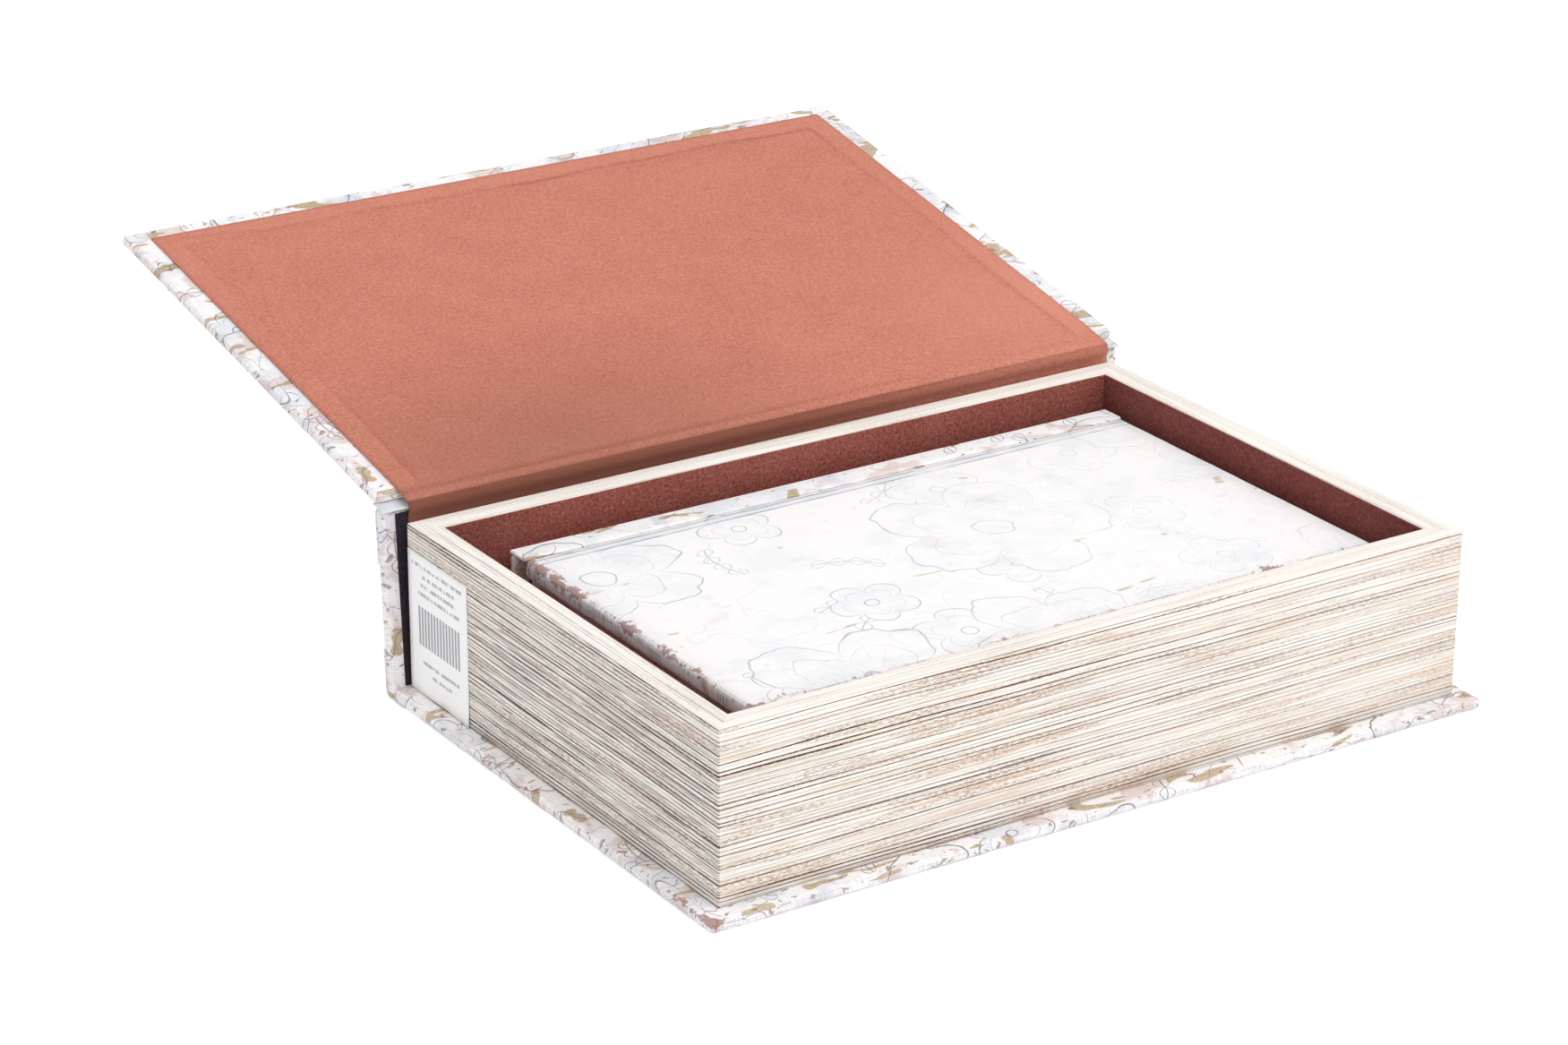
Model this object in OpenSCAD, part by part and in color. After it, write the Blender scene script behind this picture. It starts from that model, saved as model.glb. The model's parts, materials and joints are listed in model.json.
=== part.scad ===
// Book-shaped keepsake box, lid open, with a smaller book box of the same make lying inside it.
// Millimetres. +X runs along the spine, +Y towards the spine, +Z up.
// The origin is the middle of the outer tray, on the underside of the bottom board.

/* [Outer tray] */
// Outside length of the tray, along the spine
tray_l = 270; // [200:1:360]
// Outside width of the tray, from fore edge to spine
tray_w = 180; // [150:1:260]
// Height of the tray above its bottom cover
tray_h = 55; // [45:1:90]
// Thickness of the outer tray's wall boards
wall_t = 8; // [4:0.5:12]
// How far the covers stand out past the outer tray
overhang = 6.5; // [4:0.5:10]

/* [Inner box] */
// Gap between the inner box and the head wall of the outer tray
inner_gap_head = 18.25; // [10:0.25:40]
// Gap between the inner box and the tail wall of the outer tray
inner_gap_tail = 4.25; // [3:0.25:20]
// Gap between the inner box and the fore-edge wall of the outer tray
inner_gap_fore = 16.9; // [8:0.1:30]
// Gap between the inner box and the spine-side wall of the outer tray
inner_gap_back = 6.2; // [3:0.1:20]
// Free height between the inner box and the outer tray's rim
inner_headroom = 9.5; // [8:0.5:15]
// Thickness of the inner tray's wall boards
inner_wall_t = 6; // [3:0.5:8]
// How far the inner covers stand out past the inner tray
inner_overhang = 5; // [3:0.5:8]

/* [Boards, papers and cloth] */
// Thickness of the grey board in covers and spines
board_t = 3; // [2:0.1:4]
// Thickness of the printed cover paper
cover_t = 0.4; // [0.2:0.05:0.6]
// Width of the cover paper turned in over a board's inner face
turn_in = 14; // [9:0.5:20]
// Paper folded round a board's edge, measured outwards from the board
edge_fold = 1.2; // [0.8:0.1:2]
// Thickness of the page-edge paper on the tray walls
page_t = 0.5; // [0.2:0.05:0.8]
// Thickness of the velour lining
velour_t = 0.5; // [0.3:0.05:0.8]
// Thickness of the floor boards in the trays
floor_t = 1.5; // [1:0.1:3]
// Cover paper left showing round the lid's velour panel
lining_margin = 7; // [3:0.5:12]
// Velour left off at each end of the spine
spine_margin = 5; // [3:0.5:12]

/* [Label] */
// Width of the label on the head wall
label_w = 37; // [20:1:60]
// Height of the label
label_h = 46.5; // [20:0.5:50]
// Thickness of the label
label_t = 0.2; // [0.1:0.05:0.3]
// Distance from the label to the tray's spine-side corner and to the bottom cover
label_inset = 0.6; // [0.3:0.1:4]

/* [Hinges and gaps] */
// Gap between the spine's paper and the tray when the box is shut
spine_gap = 1.1; // [0.9:0.1:3]
// Lean of the spine away from the tray in the photographed pose, in degrees
spine_lean = 3.5; // [0:0.5:8]
// Rise of the open lid above the level, in degrees
lid_rise = 10.8; // [0:0.2:20]
// Distance from the lid's fold line to the near edge of its board
fold_gap = 4.5; // [4:0.1:6]
// Height of the lid's fold line above the middle of the shut lid
fold_rise = 1.25; // [0.5:0.05:1.8]
// Thickness of the paper and velour folded between spine and lid
fold_t = 0.8; // [0.6:0.1:1.2]
// Running gap between pieces that move past each other
run_gap = 0.3; // [0.2:0.05:0.5]
// Gap under pieces that only lie on another
seat_gap = 0.1; // [0.05:0.05:0.2]

/* [Hidden] */

// Radius of the covers' edges, and the angle between the points of their rounding
edge_r = 1.6;
rim_step = 15;
// How far a cutting shape passes the face that it cuts
cut_past = 1;
case_t = board_t + 2 * cover_t;
rim_t = wall_t + page_t + velour_t;
floor_top = case_t - cover_t + floor_t;
pivot_z = case_t / 2 + seat_gap;
lid_under = run_gap + velour_t;
fold_from_top = case_t / 2 - fold_rise;
swing = 180 - lid_rise - spine_lean;

// The inner box fills the outer tray's cavity, less the gaps round it
inner_foot = floor_top + velour_t + seat_gap;
inner_cover_l = tray_l - 2 * rim_t - inner_gap_head - inner_gap_tail;
inner_cover_w = tray_w - 2 * rim_t - inner_gap_fore - inner_gap_back;
inner_l = inner_cover_l - 2 * inner_overhang;
inner_w = inner_cover_w - inner_overhang - spine_gap - case_t;
inner_h = case_t + tray_h - inner_headroom - inner_foot - 2 * case_t - lid_under;
inner_x = (inner_gap_head - inner_gap_tail) / 2;
inner_y = -tray_w / 2 + rim_t + inner_gap_fore + inner_overhang + inner_w / 2;

paper = [0.91, 0.89, 0.88];
page = [0.88, 0.82, 0.74];
velour = [0.55, 0.22, 0.16];
greyboard = [0.56, 0.54, 0.50];

// Places that both boxes share, from a tray's length l, width w and height h
function pivot_y(w) = w / 2 + spine_gap + case_t / 2;
function back_edge(w) = pivot_y(w) - case_t / 2 - run_gap;
function lid_mid(h) = case_t + h + lid_under + case_t / 2;
function fold_z(h) = lid_mid(h) + fold_rise;
// The spine's round top stops one running gap short of the open lid's outer face
function spine_end_z(h) =
    fold_z(h) + ((spine_gap + case_t / 2) * sin(lid_rise + spine_lean)
    - (fold_from_top + case_t / 2 + run_gap)) / cos(lid_rise + spine_lean);

module block(x, y, z) {
    translate([x[0], y[0], z[0]])
        cube([x[1] - x[0], y[1] - y[0], z[1] - z[0]]);
}

module along_x(length) {
    rotate([90, 0, 90])
        linear_extrude(height = length, center = true)
            children();
}

// Half section of a disc with a rounded rim, thickness t and rim radius r
function rim_section(t, r) = concat(
    [[0, 0]],
    [for (a = [0:rim_step:90]) [r + r * sin(a), r - r * cos(a)]],
    [for (a = [0:rim_step:90]) [r + r * cos(a), t - r + r * sin(a)]],
    [[0, t]]
);

// Board wrapped in paper: a flat slab whose edges and corners are rounded by radius r
module wrapped_slab(length, y, z, r) {
    hull()
        for (sx = [-1, 1], cy = [y[0] + 2 * r, y[1] - 2 * r])
            translate([sx * (length / 2 - 2 * r), cy, z[0]])
                rotate_extrude($fn = 24)
                    polygon(rim_section(z[1] - z[0], r));
}

module framed(length, y, z, inset) {
    block([-length / 2 + inset, length / 2 - inset], [y[0] + inset, y[1] - inset], z);
}

module cover_board(length, y, z0) {
    framed(length, y, [z0 + cover_t, z0 + cover_t + board_t], edge_fold);
}

// Cover paper round a board. The window is where the turn-ins stop short on the inner face.
module cover_paper(length, y, z0, window_x, window_y, window_z) {
    difference() {
        wrapped_slab(length, y, [z0, z0 + case_t], edge_r);
        cover_board(length, y, z0);
        block([-window_x, window_x], window_y, window_z);
    }
}

// The bottom turn-ins end under the middle of the tray's walls
module bottom_paper(l, w, t, out) {
    wall_mid = page_t + t / 2;
    cover_paper(l + 2 * out, bottom_y(w, out), 0, l / 2 - wall_mid,
        [-w / 2 + wall_mid, w / 2 - wall_mid], [cover_t, case_t + cut_past]);
}

// The lid's turn-ins end under its velour panel, with none along the fold
module lid_paper(l, w, h, out) {
    half = l / 2 + out - turn_in;
    z0 = lid_mid(h) - case_t / 2;
    cover_paper(l + 2 * out, lid_y(w, out), z0, half,
        [-w / 2 - out + turn_in, w / 2 - fold_gap - 2 * edge_fold], [z0 - cut_past, z0 + cover_t]);
}

function bottom_y(w, out) = [-w / 2 - out, back_edge(w)];
function lid_y(w, out) = [-w / 2 - out, w / 2 - fold_gap];

// One mitred wall board along the tray's front, with length l at its outside
module mitred_wall(l, w, h, t) {
    half = l / 2 - page_t;
    outside = -w / 2 + page_t;
    inside = outside + t;
    translate([0, 0, case_t])
        linear_extrude(height = h - page_t)
            polygon([[-half, outside], [half, outside], [half - t, inside], [-half + t, inside]]);
}

module tray_shell(l, w, z, inset, thick) {
    difference() {
        block([-l / 2 + inset, l / 2 - inset], [-w / 2 + inset, w / 2 - inset], z);
        block([-l / 2 + inset + thick, l / 2 - inset - thick],
            [-w / 2 + inset + thick, w / 2 - inset - thick], [z[0] - cut_past, z[1] + cut_past]);
    }
}

// Page-edge paper on the outside of the walls and over their rim
module page_wrap(l, w, h, t) {
    tray_shell(l, w, [case_t, case_t + h], 0, page_t);
    tray_shell(l, w, [case_t + h - page_t, case_t + h], 0, page_t + t);
}

module wall_velour(l, w, h, t) {
    tray_shell(l, w, [floor_top, case_t + h - page_t], page_t + t, velour_t);
}

module floor_sheet(l, w, t, z, clear) {
    inset = page_t + t + clear;
    block([-l / 2 + inset, l / 2 - inset], [-w / 2 + inset, w / 2 - inset], z);
}

// Spine parts are drawn upright, as in the shut box
module spine_stiffener(l, w, h) {
    block([-l / 2 + case_t / 2, l / 2 - case_t / 2],
        [pivot_y(w) - board_t / 2, pivot_y(w) + board_t / 2], [pivot_z, spine_end_z(h)]);
}

module spine_paper(l, w, h) {
    top = spine_end_z(h) + case_t / 2;
    bottom = pivot_z - case_t / 2;
    difference() {
        translate([0, pivot_y(w) - case_t / 2, 0])
            rotate([90, 0, 0])
                mirror([0, 0, 1])
                    wrapped_slab(l, [bottom, top], [0, case_t], case_t / 2);
        spine_stiffener(l, w, h);
    }
}

module spine_velour(l, w, h) {
    face = pivot_y(w) - case_t / 2;
    block([-l / 2 + spine_margin, l / 2 - spine_margin], [face - velour_t, face],
        [pivot_z + case_t / 2, spine_end_z(h)]);
}

// Section of the fold behind the open lid: an arc about the fold line, seated on the spine's round top
module open_fold_section(w, h) {
    outer_r = fold_gap - run_gap;
    reach = 2 * outer_r;
    difference() {
        translate([w / 2, fold_z(h)])
            intersection() {
                difference() {
                    circle(r = outer_r, $fn = 64);
                    circle(r = outer_r - fold_t, $fn = 64);
                }
                polygon([[0, 0], [reach, -reach], [reach, reach], [reach / 2, 2 * reach]]);
            }
        translate([pivot_y(w), spine_end_z(h)])
            circle(r = case_t / 2, $fn = 64);
    }
}

// Section of the fold of a shut box: a level strip from the spine's round top to the lid's edge,
// where the paper and its turned-in edge lie double
module shut_fold_section(w, h) {
    top = lid_mid(h) + case_t / 2;
    double_t = 2 * fold_t;
    front = w / 2 - fold_gap + run_gap;
    back = pivot_y(w);
    difference() {
        union() {
            translate([front, top - double_t])
                square([back - front, double_t]);
            translate([back, top - case_t / 2])
                circle(r = case_t / 2, $fn = 64);
        }
        translate([back, spine_end_z(h)])
            circle(r = case_t / 2, $fn = 64);
    }
}

module lid_velour(l, w, h, out) {
    z = [case_t + h + run_gap, case_t + h + lid_under];
    block([-l / 2 + lining_margin, l / 2 - lining_margin],
        [-w / 2 - out + lining_margin, w / 2 - fold_gap], z);
}

// The spine leans back about its bottom fold, and the lid swings open about the upper fold
module on_spine() {
    translate([0, pivot_y(tray_w), pivot_z])
        rotate([-spine_lean, 0, 0])
            translate([0, -pivot_y(tray_w), -pivot_z])
                children();
}

module on_lid() {
    on_spine()
        translate([0, tray_w / 2, fold_z(tray_h)])
            rotate([-swing, 0, 0])
                translate([0, -tray_w / 2, -fold_z(tray_h)])
                    children();
}

module in_tray() {
    translate([inner_x, inner_y, inner_foot])
        children();
}

cover_l = tray_l + 2 * overhang;

module bottom_board() { color(greyboard) cover_board(cover_l, bottom_y(tray_w, overhang), 0); }
module bottom_cover() { color(paper) bottom_paper(tray_l, tray_w, wall_t, overhang); }
module tray_floor() {
    color(greyboard)
        floor_sheet(tray_l, tray_w, wall_t, [case_t - cover_t, floor_top], seat_gap);
}
module front_wall() { color(greyboard) mitred_wall(tray_l, tray_w, tray_h, wall_t); }
module back_wall() { color(greyboard) rotate([0, 0, 180]) mitred_wall(tray_l, tray_w, tray_h, wall_t); }
module head_wall() { color(greyboard) rotate([0, 0, -90]) mitred_wall(tray_w, tray_l, tray_h, wall_t); }
module tail_wall() { color(greyboard) rotate([0, 0, 90]) mitred_wall(tray_w, tray_l, tray_h, wall_t); }
module page_paper() { color(page) page_wrap(tray_l, tray_w, tray_h, wall_t); }
module wall_lining() { color(velour) wall_velour(tray_l, tray_w, tray_h, wall_t); }
module floor_lining() {
    color(velour)
        floor_sheet(tray_l, tray_w, wall_t + velour_t, [floor_top, floor_top + velour_t], seat_gap);
}
module label() {
    color("white")
        block([-tray_l / 2 - label_t, -tray_l / 2],
            [tray_w / 2 - label_inset - label_w, tray_w / 2 - label_inset],
            [case_t + label_inset, case_t + label_inset + label_h]);
}

module spine_board() { color(greyboard) on_spine() spine_stiffener(cover_l, tray_w, tray_h); }
module spine_cover() { color(paper) on_spine() spine_paper(cover_l, tray_w, tray_h); }
module spine_lining() { color(velour) on_spine() spine_velour(cover_l, tray_w, tray_h); }
module hinge_fold() {
    color(velour)
        on_spine()
            along_x(cover_l - 2 * spine_margin)
                open_fold_section(tray_w, tray_h);
}

module lid_board() {
    color(greyboard)
        on_lid()
            cover_board(cover_l, lid_y(tray_w, overhang), lid_mid(tray_h) - case_t / 2);
}
module lid_cover() { color(paper) on_lid() lid_paper(tray_l, tray_w, tray_h, overhang); }
module lid_lining() { color(velour) on_lid() lid_velour(cover_l, tray_w, tray_h, overhang); }

module inner_bottom_board() {
    color(greyboard) in_tray() cover_board(inner_cover_l, bottom_y(inner_w, inner_overhang), 0);
}
module inner_bottom_cover() {
    color(paper) in_tray() bottom_paper(inner_l, inner_w, inner_wall_t, inner_overhang);
}
module inner_floor() {
    color(greyboard)
        in_tray()
            floor_sheet(inner_l, inner_w, inner_wall_t, [case_t - cover_t, floor_top], seat_gap);
}
module inner_front_wall() {
    color(greyboard)
        in_tray()
            mitred_wall(inner_l, inner_w, inner_h, inner_wall_t);
}
module inner_back_wall() {
    color(greyboard)
        in_tray()
            rotate([0, 0, 180])
                mitred_wall(inner_l, inner_w, inner_h, inner_wall_t);
}
module inner_head_wall() {
    color(greyboard)
        in_tray()
            rotate([0, 0, -90])
                mitred_wall(inner_w, inner_l, inner_h, inner_wall_t);
}
module inner_tail_wall() {
    color(greyboard)
        in_tray()
            rotate([0, 0, 90])
                mitred_wall(inner_w, inner_l, inner_h, inner_wall_t);
}
module inner_page_paper() {
    color(page)
        in_tray()
            page_wrap(inner_l, inner_w, inner_h, inner_wall_t);
}
module inner_wall_lining() {
    color(velour)
        in_tray()
            wall_velour(inner_l, inner_w, inner_h, inner_wall_t);
}
module inner_floor_lining() {
    z = [floor_top, floor_top + velour_t];
    color(velour)
        in_tray()
            floor_sheet(inner_l, inner_w, inner_wall_t + velour_t, z, seat_gap);
}

module inner_spine_board() {
    color(greyboard)
        in_tray()
            spine_stiffener(inner_cover_l, inner_w, inner_h);
}
module inner_spine_cover() {
    color(paper)
        in_tray()
            spine_paper(inner_cover_l, inner_w, inner_h);
}
module inner_spine_lining() {
    color(velour)
        in_tray()
            spine_velour(inner_cover_l, inner_w, inner_h);
}
module inner_hinge_fold() {
    color(paper)
        in_tray()
            along_x(inner_cover_l)
                shut_fold_section(inner_w, inner_h);
}

module inner_lid_board() {
    color(greyboard)
        in_tray()
            cover_board(inner_cover_l, lid_y(inner_w, inner_overhang), lid_mid(inner_h) - case_t / 2);
}
module inner_lid_cover() { color(paper) in_tray() lid_paper(inner_l, inner_w, inner_h, inner_overhang); }
module inner_lid_lining() {
    color(velour) in_tray() lid_velour(inner_cover_l, inner_w, inner_h, inner_overhang);
}

bottom_board();
bottom_cover();
tray_floor();
front_wall();
back_wall();
head_wall();
tail_wall();
page_paper();
wall_lining();
floor_lining();
label();
spine_board();
spine_cover();
spine_lining();
hinge_fold();
lid_board();
lid_cover();
lid_lining();
inner_bottom_board();
inner_bottom_cover();
inner_floor();
inner_front_wall();
inner_back_wall();
inner_head_wall();
inner_tail_wall();
inner_page_paper();
inner_wall_lining();
inner_floor_lining();
inner_spine_board();
inner_spine_cover();
inner_spine_lining();
inner_hinge_fold();
inner_lid_board();
inner_lid_cover();
inner_lid_lining();
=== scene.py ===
# Book-shaped keepsake box with a smaller one inside: paper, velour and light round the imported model
import bmesh
import bpy
import json
import math
import numpy as np
from mathutils import Matrix, Vector


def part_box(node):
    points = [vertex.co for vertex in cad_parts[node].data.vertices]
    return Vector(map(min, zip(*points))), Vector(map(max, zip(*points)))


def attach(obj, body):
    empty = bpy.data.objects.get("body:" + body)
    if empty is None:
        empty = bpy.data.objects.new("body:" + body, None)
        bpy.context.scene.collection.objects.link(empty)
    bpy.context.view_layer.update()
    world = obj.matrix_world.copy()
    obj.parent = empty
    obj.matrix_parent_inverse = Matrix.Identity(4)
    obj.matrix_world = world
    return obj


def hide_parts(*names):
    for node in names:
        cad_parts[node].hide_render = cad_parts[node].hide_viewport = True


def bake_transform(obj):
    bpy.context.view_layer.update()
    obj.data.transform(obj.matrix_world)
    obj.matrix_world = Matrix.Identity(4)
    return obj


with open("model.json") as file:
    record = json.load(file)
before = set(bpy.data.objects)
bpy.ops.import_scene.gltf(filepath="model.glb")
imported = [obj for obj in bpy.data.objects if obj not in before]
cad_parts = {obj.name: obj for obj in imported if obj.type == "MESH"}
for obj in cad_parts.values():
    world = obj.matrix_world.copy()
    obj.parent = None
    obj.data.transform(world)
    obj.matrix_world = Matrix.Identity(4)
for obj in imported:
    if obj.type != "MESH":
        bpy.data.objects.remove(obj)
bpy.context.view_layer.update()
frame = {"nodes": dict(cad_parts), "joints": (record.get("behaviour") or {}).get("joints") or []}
mm = 0.001
joints = {j["name"]: j for j in frame["joints"]}


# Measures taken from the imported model

def boxOf(node):
    low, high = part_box(node)
    return np.array(low), np.array(high)


bottomLow, bottomHigh = boxOf("bottom_cover")
pageLow, pageHigh = boxOf("page_paper")
labelLow, labelHigh = boxOf("label")
innerLidLow, innerLidHigh = boxOf("inner_lid_cover")
innerBottomLow, innerBottomHigh = boxOf("inner_bottom_cover")
innerSpineLow, innerSpineHigh = boxOf("inner_spine_cover")
boardThick = bottomHigh[2] - bottomLow[2]
spinePivot = np.array(joints["spine_hinge"]["pos_m"][1:])
lidPivot = np.array(joints["lid_hinge"]["pos_m"][1:])
spineLean = math.radians(-joints["spine_hinge"]["range_deg"][0])
lidRise = math.pi + math.radians(joints["lid_hinge"]["range_deg"][0]) - spineLean
spineUp = np.array([math.sin(spineLean), math.cos(spineLean)])
spineOut = np.array([math.cos(spineLean), -math.sin(spineLean)])
lidOut = np.array([math.cos(lidRise), math.sin(lidRise)])
lidIn = np.array([-math.sin(lidRise), math.cos(lidRise)])
coverHalf = bottomHigh[0]


def lidPoint(along, above):
    # a point in the lid's own frame: distance from the fold along the lid, and above it on the velour side
    return lidPivot + along * lidOut + above * lidIn


def spinePoint(outward, height):
    # a point in the spine's own frame: outwards from its middle, and up from its bottom fold
    return spinePivot + outward * spineOut + height * spineUp


# Small helpers for colours, nodes and meshes

def tone(red, green, blue):
    # a screen colour from 0 to 255, as the linear value that shaders take
    c = np.array([red, green, blue]) / 255
    linear = np.where(c <= 0.04045, c / 12.92, ((c + 0.055) / 1.055) ** 2.4)
    return (*[float(x) for x in linear], 1.0)


def newMesh(name, points, faces, uvs=None):
    # points is n by 3, faces m by 4, uvs m by 4 by 2; all faces are shaded smooth
    mesh = bpy.data.meshes.new(name)
    mesh.from_pydata([], [], [])
    mesh.vertices.add(len(points))
    mesh.vertices.foreach_set("co", np.asarray(points, np.float32).ravel())
    mesh.loops.add(faces.size)
    mesh.loops.foreach_set("vertex_index", faces.astype(np.int32).ravel())
    mesh.polygons.add(len(faces))
    mesh.polygons.foreach_set("loop_start", np.arange(0, faces.size, 4, dtype=np.int32))
    mesh.update(calc_edges=True)
    if uvs is not None:
        layer = mesh.uv_layers.new(name="sheet")
        layer.data.foreach_set("uv", np.asarray(uvs, np.float32).ravel())
    mesh.polygons.foreach_set("use_smooth", np.full(len(faces), True))
    mesh.validate()
    obj = bpy.data.objects.new(name, mesh)
    bpy.context.scene.collection.objects.link(obj)
    return obj


def gridFaces(rows, columns):
    # the four corners of each cell of a grid whose points are stored row by row
    r, c = np.meshgrid(np.arange(rows - 1), np.arange(columns - 1), indexing="ij")
    first = (r * columns + c).ravel()
    return np.stack([first, first + 1, first + columns + 1, first + columns], 1)


def weld(obj, distance=1e-6):
    # joins doubled points along seams and turns all faces outwards
    bm = bmesh.new()
    bm.from_mesh(obj.data)
    bmesh.ops.remove_doubles(bm, verts=bm.verts, dist=distance)
    bmesh.ops.recalc_face_normals(bm, faces=bm.faces)
    bm.to_mesh(obj.data)
    bm.free()
    return obj


class Ink:
    # a node material written as sums: each call adds a node or a few and gives the output
    def __init__(self, name, colour, roughness=0.9):
        self.material = bpy.data.materials.new(name)
        self.material.use_nodes = True
        self.nodes = self.material.node_tree.nodes
        self.links = self.material.node_tree.links
        self.shader = self.nodes["Principled BSDF"]
        self.shader.inputs["Base Color"].default_value = colour
        self.shader.inputs["Roughness"].default_value = roughness
        self.shader.inputs["Specular IOR Level"].default_value = 0.2
        self.coordinates = self.nodes.new("ShaderNodeTexCoord")

    def put(self, socket, value):
        if isinstance(value, bpy.types.NodeSocket):
            self.links.new(value, socket)
        elif value is not None:
            socket.default_value = value

    def math(self, operation, a, b=None):
        node = self.nodes.new("ShaderNodeMath")
        node.operation = operation
        for socket, value in zip(node.inputs, (a, b)):
            self.put(socket, value)
        return node.outputs[0]

    def plus(self, a, b):
        return self.math("ADD", a, b)

    def minus(self, a, b):
        return self.math("SUBTRACT", a, b)

    def times(self, a, b):
        return self.math("MULTIPLY", a, b)

    def most(self, a, b):
        return self.math("MAXIMUM", a, b)

    def absolute(self, a):
        return self.math("ABSOLUTE", a)

    def between(self, value, low, high):
        # 1 inside the two limits and 0 outside
        return self.times(self.math("GREATER_THAN", value, low), self.math("LESS_THAN", value, high))

    def vector(self, x, y, z=0.0):
        node = self.nodes.new("ShaderNodeCombineXYZ")
        for socket, value in zip(node.inputs, (x, y, z)):
            self.put(socket, value)
        return node.outputs[0]

    def parts(self, vector):
        node = self.nodes.new("ShaderNodeSeparateXYZ")
        self.put(node.inputs[0], vector)
        return node.outputs

    def attribute(self, name):
        node = self.nodes.new("ShaderNodeAttribute")
        node.attribute_name = name
        return node.outputs["Fac"]

    def noise(self, vector, scale, detail=2.0, roughness=0.5, distortion=0.0):
        node = self.nodes.new("ShaderNodeTexNoise")
        self.put(node.inputs["Vector"], vector)
        for key, value in (("Scale", scale), ("Detail", detail), ("Roughness", roughness),
                           ("Distortion", distortion)):
            node.inputs[key].default_value = value
        return node.outputs["Fac"]

    def random(self, vector):
        node = self.nodes.new("ShaderNodeTexWhiteNoise")
        node.noise_dimensions = "3D"
        self.put(node.inputs["Vector"], vector)
        return node.outputs["Value"]

    def cells(self, vector, scale, randomness):
        node = self.nodes.new("ShaderNodeTexVoronoi")
        node.voronoi_dimensions = "2D"
        self.put(node.inputs["Vector"], vector)
        node.inputs["Scale"].default_value = scale
        node.inputs["Randomness"].default_value = randomness
        return node.outputs

    def ramp(self, value, low, high, start=0.0, end=1.0):
        # from start to end as value goes from low to high, flat outside
        node = self.nodes.new("ShaderNodeMapRange")
        node.interpolation_type = "SMOOTHSTEP"
        self.put(node.inputs["Value"], value)
        for key, number in (("From Min", low), ("From Max", high), ("To Min", start), ("To Max", end)):
            node.inputs[key].default_value = number
        return node.outputs[0]

    def mix(self, share, a, b):
        node = self.nodes.new("ShaderNodeMix")
        node.data_type = "RGBA"
        self.put(node.inputs["Factor"], share)
        self.put(node.inputs[6], a)
        self.put(node.inputs[7], b)
        return node.outputs[2]

    def scaled(self, vector, x, y):
        node = self.nodes.new("ShaderNodeMapping")
        node.inputs["Scale"].default_value = (x, y, 1.0)
        self.put(node.inputs["Vector"], vector)
        return node.outputs[0]

    def bump(self, height, distance, strength=1.0, normal=None):
        node = self.nodes.new("ShaderNodeBump")
        node.inputs["Strength"].default_value = strength
        node.inputs["Distance"].default_value = distance
        self.put(node.inputs["Height"], height)
        self.put(node.inputs["Normal"], normal)
        return node.outputs[0]

    def finish(self, colour, normal=None):
        self.put(self.shader.inputs["Base Color"], colour)
        self.put(self.shader.inputs["Normal"], normal)
        return self.material


# Velour

velourLook = {
    "base": tone(206, 133, 113),
    "deep": tone(191, 116, 97),
    "lit": tone(220, 148, 129),
    "shut": tone(150, 82, 86),
    # each speckle: scale per metre, roughness, and its share of the sum
    "grain": (2100, 0.7, 0.4),
    "cloud": (60, 0.5, 0.1),
    "patch": (950, 0.6, 0.5),
    "deepRange": (0.38, 0.5),
    "litRange": (0.5, 0.62),
    "foldShade": 0.45,
    "ridgeShade": 1.15,
    "endShare": 0.55,
    "endWidth": 0.1 * mm,
    "sheen": 0.2,
    "sheenSpread": 0.45,
    "shine": 0.05,
    "napDepth": 0.3 * mm,
    "napStrength": 0.8,
}


def shadeOf(colour, share):
    return (*[c * share for c in colour[:3]], 1.0)


def velourMaterial(name, look, share=1.0, field=None, shadedEnds=None):
    # short flocked nap: fine grain over weak clouds; a share below 1 darkens every colour into a painted
    # shade; field names an attribute that paints shade in folds and a highlight on ridges, and past the
    # end limit along X the end walls get a painted shade
    ink = Ink(name, look["base"], 1.0)
    place = ink.coordinates.outputs["Object"]
    speckles = (look[key] for key in ("grain", "cloud", "patch"))
    grain, cloud, patch = (ink.noise(place, scale, 2.0, roughness) for scale, roughness, _ in speckles)
    shade = ink.plus(ink.times(grain, look["grain"][2]), ink.times(cloud, look["cloud"][2]))
    shade = ink.plus(shade, ink.times(patch, look["patch"][2]))
    deep, base, lit = (shadeOf(look[k], share) for k in ("deep", "base", "lit"))
    colour = ink.mix(ink.ramp(shade, *look["deepRange"]), deep, base)
    colour = ink.mix(ink.ramp(shade, *look["litRange"]), colour, lit)
    if field:
        # the attribute is 0 in a fold, painted shade, 1 on plain velour and 2 on a ridge, painted highlight
        fold = ink.attribute(field)
        paintedFoldShade = shadeOf(look["base"], look["foldShade"] * share)
        pale = shadeOf(look["lit"], look["ridgeShade"] * share)
        colour = ink.mix(ink.ramp(fold, 0.0, 1.0, 1.0, 0.0), colour, paintedFoldShade)
        colour = ink.mix(ink.ramp(fold, 1.0, 2.0), colour, pale)
    # painted shade on the end walls' inner faces, past the given X
    if shadedEnds:
        along = ink.absolute(ink.parts(place)[0])
        shut = ink.ramp(along, shadedEnds - look["endWidth"], shadedEnds, 0.0, look["endShare"])
        colour = ink.mix(shut, colour, shadeOf(look["shut"], share))
    ink.shader.inputs["Sheen Weight"].default_value = look["sheen"] * share
    ink.shader.inputs["Sheen Roughness"].default_value = look["sheenSpread"]
    ink.shader.inputs["Sheen Tint"].default_value = look["lit"]
    ink.shader.inputs["Specular IOR Level"].default_value = look["shine"]
    return ink.finish(colour, ink.bump(grain, look["napDepth"], look["napStrength"]))


# Page-edge paper

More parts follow.
